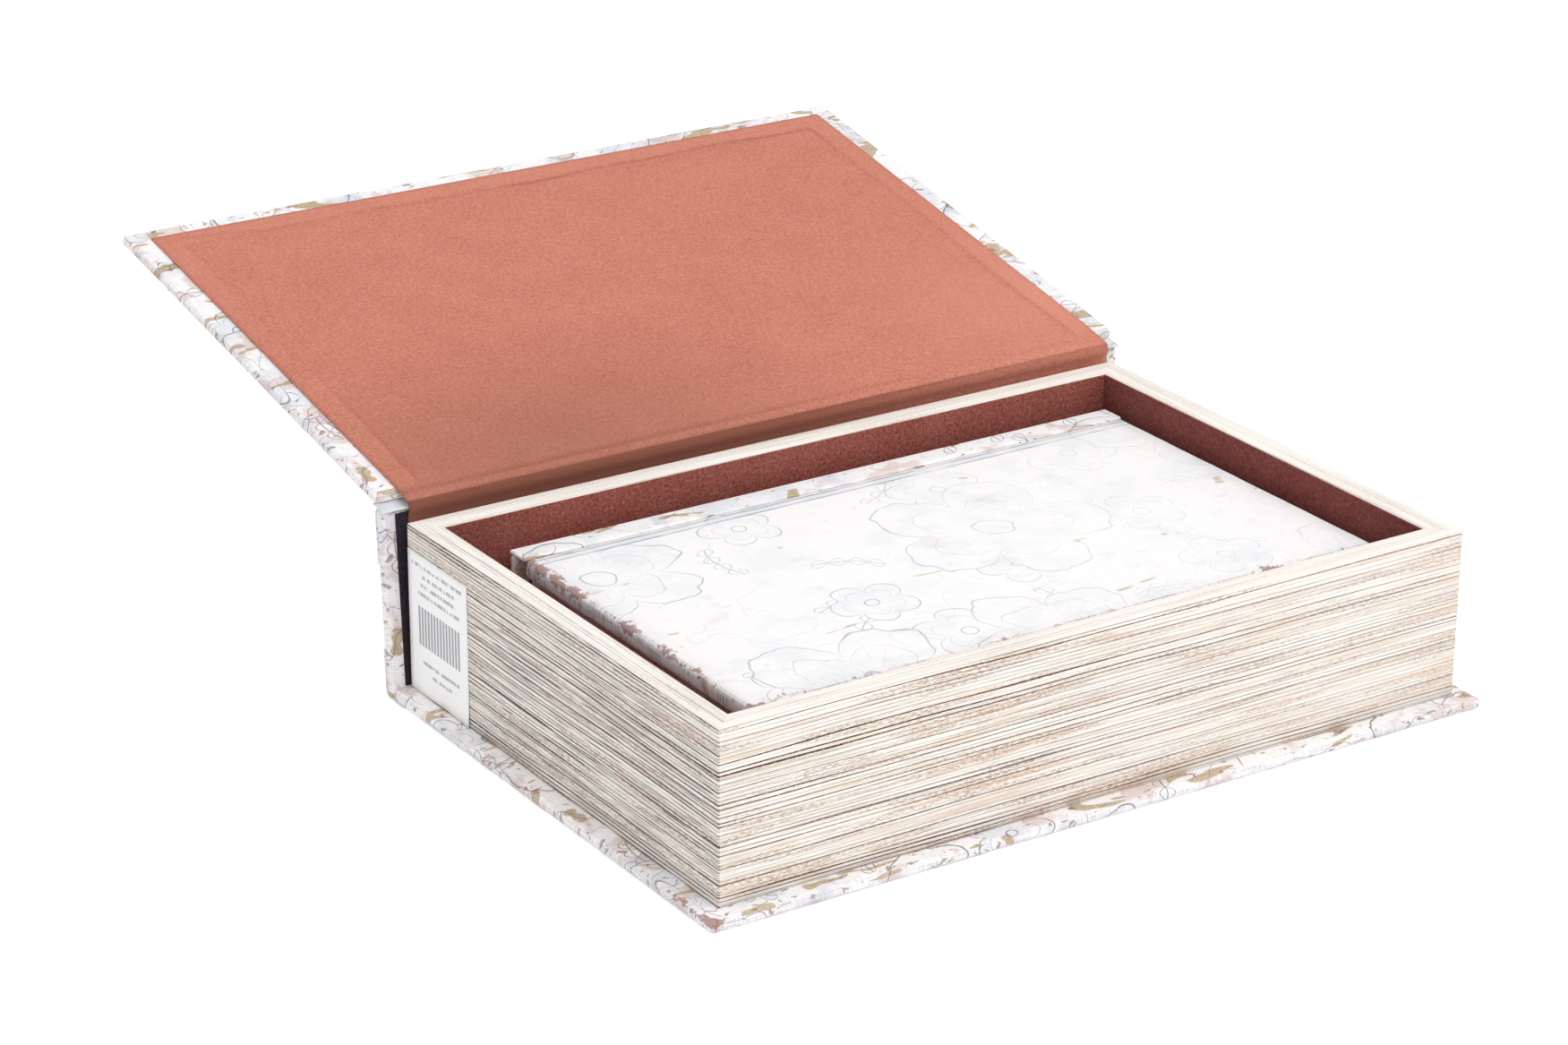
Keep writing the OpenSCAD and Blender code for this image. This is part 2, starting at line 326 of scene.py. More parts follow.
pageLook = {
    "cream": tone(255, 251, 244),
    "peach": tone(243, 218, 196),
    "rose": tone(240, 221, 213),
    # the head side's greyer ground, darker wider lines and mottle: partly print, partly painted shade
    "ash": tone(238, 228, 221),
    "mottle": tone(188, 150, 126),
    "line": tone(80, 62, 52),
    "headLine": tone(72, 61, 58),
    "headWiden": 0.22,
    "fadeStart": 0.7,
    "fadeEnd": 0.9,
    "fadeLeast": 0.7,
    "rimStart": pageHigh[2] - pageLow[2],
    "rimBlur": 0.3 * mm,
    "rimLines": 0.32,
    "rimTint": 0.35,
    "headStart": 0.45,
    "headEnd": 0.63,
    "headMottle": 0.2,
    "wander": 2.4 * mm,
    "uneven": 1.7 * mm,
    "peachShare": 0.6,
    "roseShare": 0.35,
    "mottleShare": 0.9,
    "lineBlur": 0.05,
    "gapBlur": 0.12,
    "relief": 0.08 * mm,
}

# cloudy streaks in the print: scale along and across the leaves per metre, detail and roughness
pageStreaks = {
    "wander": (8, 60, 2.0, 0.5),
    "stipple": (800, 2400, 1.0, 0.5),
    "fibre": (420, 3400, 3.0, 0.7),
    "strip": (45, 2100, 3.0, 0.7),
    "bands": (16, 420, 2.0, 0.6),
    "rosy": (12, 340, 2.0, 0.6),
    "dash": (520, 3000, 4.0, 0.75),
    "cluster": (16, 260, 3.0, 0.65),
}

# each layer of lines: pitch, seed, least and most half width as a share of the pitch, variation along the
# side per metre, the noise level below which a line breaks off, and its strength on front and head
# the head column's larger strengths partly paint shade on the head side
pageLines = [
    (1.3 * mm, 1.0, 0.07, 0.155, 12, 0.25, 1.0, 1.0),
    (0.78 * mm, 5.0, 0.08, 0.18, 26, 0.43, 0.34, 0.95),
    (0.47 * mm, 9.0, 0.07, 0.2, 100, 0.47, 0.2, 0.45),
]


def pageMaterial(name, look):
    # printed leaf edges: lines along the side over cream, each with a random weight, worn through in
    # places; peach and rose bands, and clusters of short brown dashes. On the head side the lines are wider
    # and more of them show over a greyer ground, partly print and partly a painted shade of that side; the
    # print fades along the front and is weak on the rim
    ink = Ink(name, look["cream"], 0.75)
    along, across, _ = ink.parts(ink.coordinates.outputs["UV"])
    sheet = ink.vector(along, across)
    streak = {}
    for key, (scaleAlong, scaleAcross, detail, roughness) in pageStreaks.items():
        streak[key] = ink.noise(ink.scaled(sheet, scaleAlong, scaleAcross), 1.0, detail, roughness)
    spacing = ink.noise(ink.vector(across, 3.0), 330, 1.0)
    height = ink.plus(across, ink.times(ink.minus(streak["wander"], 0.5), look["wander"]))
    height = ink.plus(height, ink.times(ink.minus(spacing, 0.5), look["uneven"]))
    head = ink.between(along, look["headStart"], look["headEnd"])
    fade = ink.ramp(along, look["fadeStart"], look["fadeEnd"], 1.0, look["fadeLeast"])
    front = ink.times(ink.minus(1.0, head), fade)
    onRim = ink.ramp(across, look["rimStart"], look["rimStart"] + look["rimBlur"], 1.0, look["rimLines"])

    def lines(pitch, seed, thin, thick, change, gap, onFront, onHead):
        # distance from the middle of each pitch, less that line's own half width
        step = ink.math("DIVIDE", height, pitch)
        number = ink.math("FLOOR", step)
        place = ink.absolute(ink.minus(ink.math("FRACT", step), 0.5))
        weight = ink.random(ink.vector(number, seed))
        run = ink.vector(ink.times(along, change), ink.times(number, 3.7), seed)
        wear = ink.noise(run, 1.0, 3.0, 0.6)
        half = ink.times(ink.ramp(weight, 0.0, 1.0, thin, thick), ink.ramp(wear, 0.3, 0.7, 0.5, 1.3))
        half = ink.times(half, ink.plus(1.0, ink.times(head, look["headWiden"])))
        drawn = ink.ramp(ink.minus(place, half), -look["lineBlur"], look["lineBlur"], 1.0, 0.0)
        drawn = ink.times(drawn, ink.ramp(weight, 0.0, 0.7, 0.45, 1.0))
        drawn = ink.times(drawn, ink.ramp(wear, gap, gap + look["gapBlur"]))
        drawn = ink.times(drawn, ink.ramp(streak["stipple"], 0.3, 0.46, 0.62, 1.0))
        share = ink.plus(ink.times(front, onFront), ink.times(head, onHead))
        return ink.times(ink.times(drawn, share), onRim)

    strip = ink.plus(ink.times(streak["strip"], 0.62), ink.times(streak["fibre"], 0.38))
    bands = ink.plus(ink.times(streak["bands"], 0.45), ink.times(strip, 0.55))
    soft = ink.ramp(onRim, look["rimLines"], 1.0, look["rimTint"], 1.0)
    peachy = ink.times(ink.ramp(bands, 0.49, 0.57, 0.0, look["peachShare"]), soft)
    colour = ink.mix(peachy, look["cream"], ink.mix(head, look["peach"], look["ash"]))
    rosy = ink.times(ink.ramp(streak["rosy"], 0.52, 0.66, 0.0, look["roseShare"]), soft)
    colour = ink.mix(rosy, colour, look["rose"])
    amount = ink.times(ink.ramp(streak["cluster"], 0.46, 0.6, 0.0, look["mottleShare"]), fade)
    amount = ink.most(amount, ink.times(head, look["headMottle"]))
    mottle = ink.times(ink.times(ink.ramp(streak["dash"], 0.46, 0.58), amount), soft)
    colour = ink.mix(mottle, colour, look["mottle"])
    lineColour = ink.mix(head, look["line"], look["headLine"])
    for layer in reversed(pageLines):
        bold = lines(*layer)
        colour = ink.mix(bold, colour, lineColour)
    return ink.finish(colour, ink.bump(bold, look["relief"], 0.3))


# Cover paper

coverLook = {
    "paper": tone(253, 251, 251),
    "ink": tone(116, 110, 118),
    "wash": tone(216, 222, 232),
    "lilac": tone(229, 219, 229),
    "gold": tone(180, 152, 96),
    "worn": tone(166, 126, 117),
    "rib": tone(206, 196, 202),
    "rose": tone(214, 176, 163),
    "blue": tone(188, 196, 222),
    "fleck": tone(128, 106, 98),
    "stripe": tone(112, 124, 140),
    # spacing, shift of the pattern, and the chance below which a motif is left out
    "smallBlossom": (56 * mm, 113 * mm, 0.35),
    "largeBlossom": (104 * mm, 437 * mm, 0.25),
    "sprig": (33 * mm, 271 * mm, 0.35),
    # least and greatest radius, and half width of the outline
    "smallSize": (9 * mm, 17 * mm, 0.22 * mm),
    "largeSize": (28 * mm, 40 * mm, 0.28 * mm),
    "sprigSize": 12 * mm,
    "petals": 5,
    "rays": 25,
    "innerOutline": 0.66,
    "heart": 0.15,
    "lines": 0.8,
    "washes": 0.75,
    "golds": 0.8,
    "goldLevel": 0.645,
    "roseLevel": 0.565,
    "blueLevel": 0.63,
    "ribShare": 0.6,
    "wornShare": 0.82,
    "curls": 1.0,
    "margins": 0.7,
    "band": None,
    "fade": None,
    "linenDepth": 0.06 * mm,
    "ribDepth": 0.4 * mm,
}
innerLook = {
    **coverLook,
    "ink": tone(176, 180, 188),
    "wash": tone(233, 239, 244),
    "lilac": tone(245, 243, 246),
    "gold": tone(206, 196, 160),
    "rib": tone(180, 168, 172),
    "fleck": tone(238, 236, 235),
    "lines": 0.72,
    "washes": 0.5,
    "goldLevel": 0.69,
    "roseLevel": 0.62,
    "blueLevel": 0.59,
    "curls": 0.3,
    "margins": 0.2,
    "band": (59 * mm, 62.4 * mm),
    "fade": (-20 * mm, 60 * mm, 0.38),
}

# cloudy fields over the sheet: seed, scale per metre (a pair stretches it), detail, roughness, distortion
coverFields = {
    "hand": (0.0, 60, 2.0),
    "flourish": (0.0, 30, 1.0),
    "shown": (3.0, 20, 1.0),
    "cloud": (7.0, 34, 3.0, 0.55),
    "mist": (11.0, 42, 3.0, 0.6),
    "bloom": (5.0, 90, 2.0),
    "brush": (2.0, (42, 110), 2.0, 0.55, 0.6),
    "hatch": (0.0, (700, 2200), 1.0),
    "rose": (23.0, 55, 3.0, 0.6),
    "blue": (29.0, 46, 3.0, 0.6),
    "fleck": (31.0, (190, 330), 2.0, 0.6, 0.8),
    "ribAlong": (0.0, (1500, 70), 1.0),
    "ribAcross": (0.0, (70, 1500), 1.0),
    "fine": (13.0, (420, 300), 4.0, 0.7),
    "broad": (17.0, 70, 2.0),
    "dots": (19.0, 800, 1.0),
    "weft": (0.0, (2400, 300), 1.0),
    "warp": (0.0, (300, 2400), 1.0),
}


def coverMaterial(name, look):
    # near-white paper: outline blossoms of two sizes, sprigs and loose flourishes, pale washes and patches,
    # gold strokes, dark flecks, ribbed and worn edges
    ink = Ink(name, look["paper"], 0.7)
    u, v, _ = ink.parts(ink.coordinates.outputs["UV"])

    def cloudy(seed, scale, detail, roughness=0.5, distortion=0.0):
        place = ink.vector(u, v, seed)
        if isinstance(scale, tuple):
            place, scale = ink.scaled(place, *scale), 1.0
        return ink.noise(place, scale, detail, roughness, distortion)

    field = {key: cloudy(*values) for key, values in coverFields.items()}

    def stroke(distance, half):
        # full on the line and gone a little over one half width from it
        return ink.ramp(ink.absolute(distance), half * 0.6, half * 1.6, 1.0, 0.0)

    def motif(spacing, shift, randomness):
        # the nearest scattered point, and the polar place round it, turned by a random angle
        place = ink.vector(ink.plus(u, shift), ink.plus(v, shift * 0.7))
        cells = ink.cells(place, 1.0 / spacing, randomness)
        x, y, _ = ink.parts(place)
        px, py, _ = ink.parts(cells["Position"])
        dx, dy = ink.minus(x, px), ink.minus(y, py)
        radius = ink.math("SQRT", ink.plus(ink.times(dx, dx), ink.times(dy, dy)))
        chance, turn, _ = ink.parts(cells["Color"])
        angle = ink.plus(ink.math("ARCTAN2", dy, dx), ink.times(turn, 6.28))
        return radius, angle, chance

    def blossom(pattern, size):
        # petals: the radius swings between half and full size as often as there are petals; a second
        # outline inside, a ring round the heart and fine rays between them
        spacing, shift, level = pattern
        least, most, width = size
        radius, angle, chance = motif(spacing, shift, 0.6)
        radius = ink.plus(radius, ink.times(ink.minus(field["hand"], 0.5), least * 0.5))
        size = ink.ramp(chance, 0.0, 1.0, least, most)
        lobe = ink.absolute(ink.math("COSINE", ink.times(angle, look["petals"] / 2)))
        swing = ink.plus(0.5, ink.times(ink.math("POWER", lobe, 0.55), 0.5))
        petal = ink.times(size, swing)
        drawn = stroke(ink.minus(radius, petal), width)
        inside = stroke(ink.minus(radius, ink.times(petal, look["innerOutline"])), width * 0.7)
        ring = stroke(ink.minus(radius, ink.times(size, look["heart"])), width)
        ray = ink.absolute(ink.math("SINE", ink.times(angle, look["rays"] / 2)))
        ray = ink.ramp(ray, 0.0, 0.2, 1.0, 0.0)
        ray = ink.times(ray, ink.between(radius, ink.times(size, 0.2), ink.times(petal, 0.6)))
        drawn = ink.most(ink.most(drawn, ring), ink.times(inside, 0.6))
        drawn = ink.most(drawn, ink.times(ray, 0.3))
        shown = ink.math("GREATER_THAN", chance, level)
        fill = ink.times(ink.math("LESS_THAN", radius, petal), shown)
        return ink.times(drawn, shown), fill

    small, smallFill = blossom(look["smallBlossom"], look["smallSize"])
    large, largeFill = blossom(look["largeBlossom"], look["largeSize"])
    small = ink.times(small, ink.minus(1.0, ink.times(largeFill, 0.8)))
    fill = ink.most(smallFill, largeFill)

    # sprig: a bent stem with pairs of leaves
    spacing, shift, level = look["sprig"]
    radius, angle, chance = motif(spacing, shift, 0.9)
    sx, sy = (ink.times(radius, ink.math(f, angle)) for f in ("COSINE", "SINE"))
    bend = ink.plus(sy, ink.times(ink.times(sx, sx), 22.0))
    wave = ink.times(ink.absolute(ink.math("SINE", ink.times(sx, 520))), 2.8 * mm)
    leaf = stroke(ink.minus(ink.absolute(bend), wave), 0.18 * mm)
    sprig = ink.most(stroke(bend, 0.2 * mm), leaf)
    sprig = ink.times(sprig, ink.math("LESS_THAN", radius, look["sprigSize"]))
    sprig = ink.times(sprig, ink.math("GREATER_THAN", chance, level))
    sprig = ink.times(sprig, ink.minus(1.0, fill))

    # loose flourishes: contour lines of a soft field, shown in places
    flourish = ink.ramp(ink.absolute(ink.minus(field["flourish"], 0.52)), 0.0006, 0.0032, 1.0, 0.0)
    flourish = ink.times(flourish, ink.ramp(field["shown"], 0.49, 0.55, 0.0, look["curls"]))

    # washes in the open paper and inside the blossoms
    washes = look["washes"]
    colour = ink.mix(ink.ramp(field["cloud"], 0.53, 0.66, 0.0, 0.75 * washes), look["paper"], look["wash"])
    colour = ink.mix(ink.ramp(field["mist"], 0.54, 0.68, 0.0, 0.7 * washes), colour, look["lilac"])
    bloom = ink.ramp(field["bloom"], 0.42, 0.62, 0.0, 0.6 * washes)
    colour = ink.mix(ink.times(fill, bloom), colour, look["wash"])
    # rosy and bluish patches, gold strokes and dark flecks, more of them where the attribute margin is high
    grain = ink.ramp(field["hatch"], 0.3, 0.5, 0.55, 1.0)
    margin = ink.times(ink.attribute("margin"), look["margins"])
    for tint in ("rose", "blue"):
        level = look[tint + "Level"]
        patch = ink.plus(field[tint], ink.times(margin, 0.07))
        share = ink.times(ink.ramp(patch, level, level + 0.08, 0.0, 0.7), grain)
        colour = ink.mix(ink.times(share, look["margins"]), colour, look[tint])
    brush = ink.plus(field["brush"], ink.times(margin, 0.095))
    gold = ink.ramp(brush, look["goldLevel"], look["goldLevel"] + 0.02, 0.0, look["golds"])
    colour = ink.mix(ink.times(gold, grain), colour, look["gold"])
    fleck = ink.ramp(ink.plus(field["fleck"], ink.times(margin, 0.07)), 0.675, 0.7, 0.0, 0.75)
    colour = ink.mix(ink.times(fleck, grain), colour, look["fleck"])
    drawn = ink.most(ink.most(small, large), ink.most(sprig, flourish))
    if look["fade"]:
        # the print is fainter towards one end
        start, end, least = look["fade"]
        drawn = ink.times(drawn, ink.ramp(u, start, end, 1.0, least))
    colour = ink.mix(ink.times(drawn, look["lines"]), colour, look["ink"])
    if look["band"]:
        # a pale stripe with a thin line on either side, along the groove
        stripe = ink.times(ink.between(v, *look["band"]), ink.ramp(field["hand"], 0.35, 0.6, 0.2, 0.9))
        colour = ink.mix(stripe, colour, look["wash"])
        rules = ink.most(*[stroke(ink.minus(v, place), 0.26 * mm) for place in look["band"]])
        rules = ink.times(rules, ink.ramp(field["hand"], 0.3, 0.6, 0.3, 0.9))
        colour = ink.mix(rules, colour, look["stripe"])

    # ribbed and worn edges: the attribute side is 1 on the upright sides, wear is high along worn edges
    side = ink.attribute("side")
    ribs = ink.times(field["ribAlong"], field["ribAcross"])
    ribbed = ink.times(ink.ramp(ribs, 0.24, 0.34, 0.0, look["ribShare"]), side)
    colour = ink.mix(ribbed, colour, look["rib"])
    level = ink.plus(ink.times(ink.attribute("wear"), 0.62), ink.times(field["broad"], 0.9))
    worn = ink.ramp(ink.plus(field["fine"], level), 1.33, 1.37, 0.0, look["wornShare"])
    colour = ink.mix(worn, colour, look["worn"])
    dots = ink.times(ink.ramp(field["dots"], 0.7, 0.74), side)
    colour = ink.mix(ink.times(dots, ink.ramp(field["broad"], 0.45, 0.6, 0.0, 0.6)), colour, look["worn"])
    normal = ink.bump(ink.plus(field["weft"], field["warp"]), look["linenDepth"], 0.35)
    return ink.finish(colour, ink.bump(ribs, look["ribDepth"], 0.6, normal))


greyBoard = Ink("greyBoard", tone(196, 192, 184), 0.95)
fibres = greyBoard.noise(greyBoard.coordinates.outputs["Object"], 900, 4.0, 0.7)
boardColour = greyBoard.mix(greyBoard.ramp(fibres, 0.35, 0.7), tone(150, 145, 136), tone(206, 201, 192))
greyBoard.finish(boardColour, greyBoard.bump(fibres, 0.1 * mm, 0.5))
velour = velourMaterial("velour", velourLook, 1.0, "nap")
# the walls: a redder copy of the velour, darkened by the wall share into a painted shade
shadedWallLook = {
    **velourLook,
    "base": tone(214, 124, 110),
    "deep": tone(168, 84, 72),
    "lit": tone(244, 166, 150),
}
wallShade = 0.45
shadedWallEnds = boxOf("wall_lining")[1][0] - 0.6 * mm
wallVelour = velourMaterial("wallVelour", shadedWallLook, wallShade, shadedEnds=shadedWallEnds)
# near-black velour for the spine's inner face: a painted shadow of the deep gap behind the tray
shadowVelourLook = {
    **velourLook,
    "base": tone(52, 46, 55),
    "deep": tone(42, 37, 46),
    "lit": tone(62, 54, 62),
}
foldVelour = velourMaterial("foldVelour", shadowVelourLook)
pageEdge = pageMaterial("pageEdge", pageLook)
coverPaper = coverMaterial("coverPaper", coverLook)
innerPaper = coverMaterial("innerPaper", innerLook)


# Wrapped boards

def setField(obj, name, values):
    obj.data.attributes.new(name, "FLOAT", "POINT").data.foreach_set("value", values.astype(np.float32))


def near(value, place, reach):
    # 1 at the place, falling to about a third one reach away and then to 0
    return np.exp(-((value - place) / reach) ** 2)


def pointsOf(obj):
    spots = np.zeros(len(obj.data.vertices) * 3)
    obj.data.vertices.foreach_get("co", spots)
    return spots.reshape(-1, 3)


slabSizes = {
    "step": 6 * mm,
    "arcParts": 5,
    "marginReach": 9 * mm,
    "wearInset": 0.8 * mm,
    "wearReach": 2.2 * mm,
    "plainWear": 0.12,
    "turnIn": 3.9 * mm,
    "ripple": 0.12 * mm,
}


def roundedSlab(name, low, high, radius, wearAt=None, bulge=0.0, ribs=1.0, printed=1):
    # a box whose points are pulled onto a smaller core box and pushed out again by one radius, so that
    # every edge and corner is round. UV runs flat over the printed side, which is the upper one where
    # printed is 1 and the lower one where it is -1, and on over the edges. The attribute side is ribs on
    # the upright sides; wear is high along the upper edge, times what wearAt gives; margin falls off over
    # the centimetre next to the edge
    low, high = np.array(low, float), np.array(high, float)
    centre, half = (low + high) / 2, (high - low) / 2
    turn = np.tan(np.linspace(0, math.pi / 4, slabSizes["arcParts"] + 1)) * radius

    def samples(size):
        core = size - radius
        count = max(2, int(round(2 * core / slabSizes["step"])) + 1)
        return np.concatenate([-(core + turn[1:])[::-1], np.linspace(-core, core, count), core + turn[1:]])

    points, faces, uvs, start = [], [], [], 0
    for axis in range(3):
        a, b = (axis + 1) % 3, (axis + 2) % 3
        for side in (-1, 1):
            sa, sb = samples(half[a]), samples(half[b])
            ga, gb = np.meshgrid(sa, sb, indexing="ij")
            raw = np.zeros((ga.size, 3))
            raw[:, a], raw[:, b], raw[:, axis] = ga.ravel(), gb.ravel(), side * half[axis]
            core = np.clip(raw, -(half - radius), half - radius)
            away = raw - core
            away = away / np.linalg.norm(away, axis=1)[:, None] * radius
            cell = gridFaces(len(sa), len(sb))
            if side < 0:
                cell = cell[:, ::-1]
            x, y, z = (raw[cell][:, :, k] for k in range(3))
            middle = raw[cell].mean(1)
            overEnd = (half[0] - np.abs(middle[:, 0]) < half[1] - np.abs(middle[:, 1]))[:, None]
            depth = half[2] - printed * z
            extra = [half[k] - np.abs(v) if axis == 2 else 0 for k, v in enumerate((x, y))]
            signs = np.sign(middle)
            u = np.where(overEnd, signs[:, :1] * (half[0] + depth + extra[0]), x)
            v = np.where(overEnd, y, signs[:, 1:2] * (half[1] + depth + extra[1]))
            if axis == 2 and side == printed:
                u, v = x, y
            points.append(core + away + centre)
            faces.append(cell + start)
            uvs.append(np.stack([u + centre[0], v + centre[1]], 2))
            start += len(raw)
    obj = weld(newMesh(name, np.concatenate(points), np.concatenate(faces), np.concatenate(uvs)))
    spots = pointsOf(obj)
    local = spots - centre
    inset = np.minimum(half[0] - np.abs(local[:, 0]), half[1] - np.abs(local[:, 1]))
    upper = np.clip(local[:, 2] / half[2], -1, 1)
    setField(obj, "side", ribs * np.clip(1.3 - inset / radius, 0, 1))
    setField(obj, "margin", (0.3 + 0.7 * ribs) * np.exp(-(inset / slabSizes["marginReach"]) ** 2))
    amount = wearAt(spots[:, 0], spots[:, 1]) if wearAt else slabSizes["plainWear"]
    ridge = near(inset, slabSizes["wearInset"], slabSizes["wearReach"]) * np.clip(0.5 + 0.9 * upper, 0, 1)
    setField(obj, "wear", np.broadcast_to(amount * ridge, inset.shape))
    # the turned-in paper makes the edge a little thicker below, and uneven
    swell = bulge * np.exp(-(inset / slabSizes["turnIn"]) ** 8) * np.clip(0.5 - 0.9 * upper, 0, 1)
    swell += 0.3 * bulge * np.clip(1 - inset / (3.4 * mm), 0, 1) ** 2 * np.clip(upper, 0, 1)
    ripple = slabSizes["ripple"] * ribs * np.sin(spots[:, 0] * 210 + 3 * np.sin(spots[:, 1] * 170))
    ripple *= np.exp(-inset / (2 * mm))
    spots[:, 2] -= swell - ripple * np.clip(upper, 0, 1)
    obj.data.vertices.foreach_set("co", spots.astype(np.float32).ravel())
    obj.data.update()
    return obj


def tiltInto(obj, pivot, angle):
    # turns a piece drawn level into place about a fold line that runs along X
    spots = pointsOf(obj)
    c, s = math.cos(angle), math.sin(angle)
    y, z = spots[:, 1].copy(), spots[:, 2].copy()
    spots[:, 1] = pivot[0] + y * c - z * s
    spots[:, 2] = pivot[1] + y * s + z * c
    obj.data.vertices.foreach_set("co", spots.astype(np.float32).ravel())
    obj.data.update()
    return obj


def dress(obj, material, body, slotName, *nodes):
    obj.data.materials.append(material)
    if body:
        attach(obj, body)
    if nodes:
        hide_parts(*nodes)
    return obj


coverSizes = {
    "edgeRadius": 1.75 * mm,
    "nearEdge": 4.5 * mm,
    "farEdge": 186.5 * mm,
    "outerFace": 0.65 * mm,
    "spineLength": 60.47 * mm,
    "innerTurnIn": 2.6 * mm,
}
jointSizes = {"gap": 0.1 * mm, "thick": 1.5 * mm, "backOff": 0.2 * mm, "edgeRadius": 0.7 * mm}
coverEdge = coverSizes["edgeRadius"]


def bottomWear(x, y):
    corner = near(x, bottomLow[0], 9 * mm) * near(y, bottomLow[1], 14 * mm)
    return 0.12 + 0.75 * corner + 0.18 * near(x, bottomLow[0], 4 * mm)


def lidWear(x, y):
    return 0.1 + 0.4 * near(x, -coverHalf, 5 * mm) * near(y, -coverSizes["nearEdge"], 60 * mm)


def spineWear(x, y):
    return 0.25 + 0.3 * near(y, 0, 15 * mm)


def jointWear(x, y):
    return 0.5 * near(x, innerSpineLow[0], 9 * mm)


def innerWear(x, y):
    return 0.2 + 0.5 * near(x, innerLidLow[0], 6 * mm) + 0.25 * near(y, innerLidLow[1], 5 * mm)


bottomPaper = roundedSlab("bottomPaper", bottomLow, bottomHigh, coverEdge, bottomWear, printed=-1)
dress(bottomPaper, coverPaper, "box", "cover_paper", "bottom_cover")

# the lid is drawn level with its print up and its fold at y 0, then swung open about the fold
lidLow = (-coverHalf, -coverSizes["farEdge"], coverSizes["outerFace"] - boardThick)
lidHigh = (coverHalf, -coverSizes["nearEdge"], coverSizes["outerFace"])
lidSlab = roundedSlab("lidPaper", lidLow, lidHigh, coverEdge, lidWear)
tiltInto(lidSlab, lidPivot, math.pi + lidRise)
dress(lidSlab, coverPaper, "lid", "cover_paper", "lid_cover")

# the spine is drawn level with its print up and its foot at y 0, then stood up
spineLow = (-coverHalf, -coverSizes["spineLength"], -boardThick / 2)
spineHigh = (coverHalf, boardThick / 2, boardThick / 2)
spineSlab = roundedSlab("spinePaper", spineLow, spineHigh, boardThick / 2 * 0.98, spineWear)
tiltInto(spineSlab, spinePivot, -math.pi / 2 - spineLean)
dress(spineSlab, coverPaper, "spine", "cover_paper", "spine_cover")

innerTurnIn = coverSizes["innerTurnIn"]
innerLid = roundedSlab("innerLidPaper", innerLidLow, innerLidHigh, coverEdge, innerWear, innerTurnIn)
dress(innerLid, innerPaper, "inner_lid", "cover_paper", "inner_lid_cover")
innerBase = roundedSlab("innerBottomPaper", innerBottomLow, innerBottomHigh, coverEdge)
dress(innerBase, innerPaper, "inner_box", "cover_paper", "inner_bottom_cover")
innerSpine = roundedSlab("innerSpinePaper", innerSpineLow, innerSpineHigh, coverEdge, ribs=0.2)
dress(innerSpine, coverPaper, "inner_box", "cover_paper", "inner_spine_cover")
jointLow, jointHigh = innerSpineLow.copy(), innerSpineHigh.copy()
jointLow[1] = innerLidHigh[1] + jointSizes["gap"]
jointLow[2], jointHigh[2] = innerLidHigh[2] - jointSizes["thick"], innerLidHigh[2]
jointHigh[1] -= jointSizes["backOff"]
jointEdge = jointSizes["edgeRadius"]
innerJoint = roundedSlab("innerJointPaper", jointLow, jointHigh, jointEdge, jointWear, ribs=0.0)
dress(innerJoint, coverPaper, "inner_box", "cover_paper", "inner_hinge_fold")
print("wrapped boards done")


# Paper in the two outer folds

foldSizes = {
    "halfWidth": 141.2 * mm,
    "step": 6 * mm,
    "thick": 0.3 * mm,
    "spineFace": 1.98 * mm,
    "lidStart": 42 * mm,
    "bottomEnd": 14 * mm,
}


def sheetAlong(name, path, sizes, flatRow, flatAt):
    # one sheet of paper carried across the box: the path gives its section as rows of (y, z). The print
    # runs on from the spine's, which counts down from its foot: it is flatAt there at the row flatRow
    half = sizes["halfWidth"]
    across = np.linspace(-half, half, int(2 * half / sizes["step"]) + 1)
    length = np.concatenate([[0], np.cumsum(np.linalg.norm(np.diff(path, axis=0), axis=1))])
    rows, columns = np.meshgrid(np.arange(len(path)), across, indexing="ij")
    points = np.stack([columns, path[:, 0][rows], path[:, 1][rows]], 2).reshape(-1, 3)
    faces = gridFaces(len(path), len(across))
    flat = np.stack([columns.ravel(), -(flatAt + length[rows] - length[flatRow]).ravel()], 1)
    obj = newMesh(name, points, faces, flat[faces])
    body = obj.modifiers.new("thick", "SOLIDIFY")
    body.thickness = sizes["thick"]
    body.offset = 0
    return obj


def arcPath(centre, radius, begin, end, count=14):
    # angles from the spine's outward direction towards its top
    angles = np.radians(np.linspace(begin, end, count))
    return [centre + radius * (math.cos(t) * spineOut + math.sin(t) * spineUp) for t in angles]


topCentre = spinePoint(0, coverSizes["spineLength"] - boardThick / 2)
# up the spine's outer face and round its top, out under the lid, back to the fold line and out again along
# the lid's printed face
heights = np.linspace(foldSizes["lidStart"], 58 * mm, 6)
lidFold = [spinePoint(foldSizes["spineFace"], h) for h in heights]
lidFold += arcPath(topCentre, foldSizes["spineFace"], 4, 104)
lidFold += [lidPoint(a * mm, -0.95 * mm) for a in (1.3, 0.6, 0.1)]
lidFold += [lidPoint(-0.22 * mm, -0.8 * mm)]
lidFold += [lidPoint(a * mm, -0.68 * mm) for a in (0.1, 1.0, 2.2, 3.4, 4.6, 6.0)]
lidWeb = sheetAlong("lidFoldPaper", np.array(lidFold), foldSizes, 0, foldSizes["lidStart"])
dress(lidWeb, coverPaper, None, "cover_paper")
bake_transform(lidWeb)
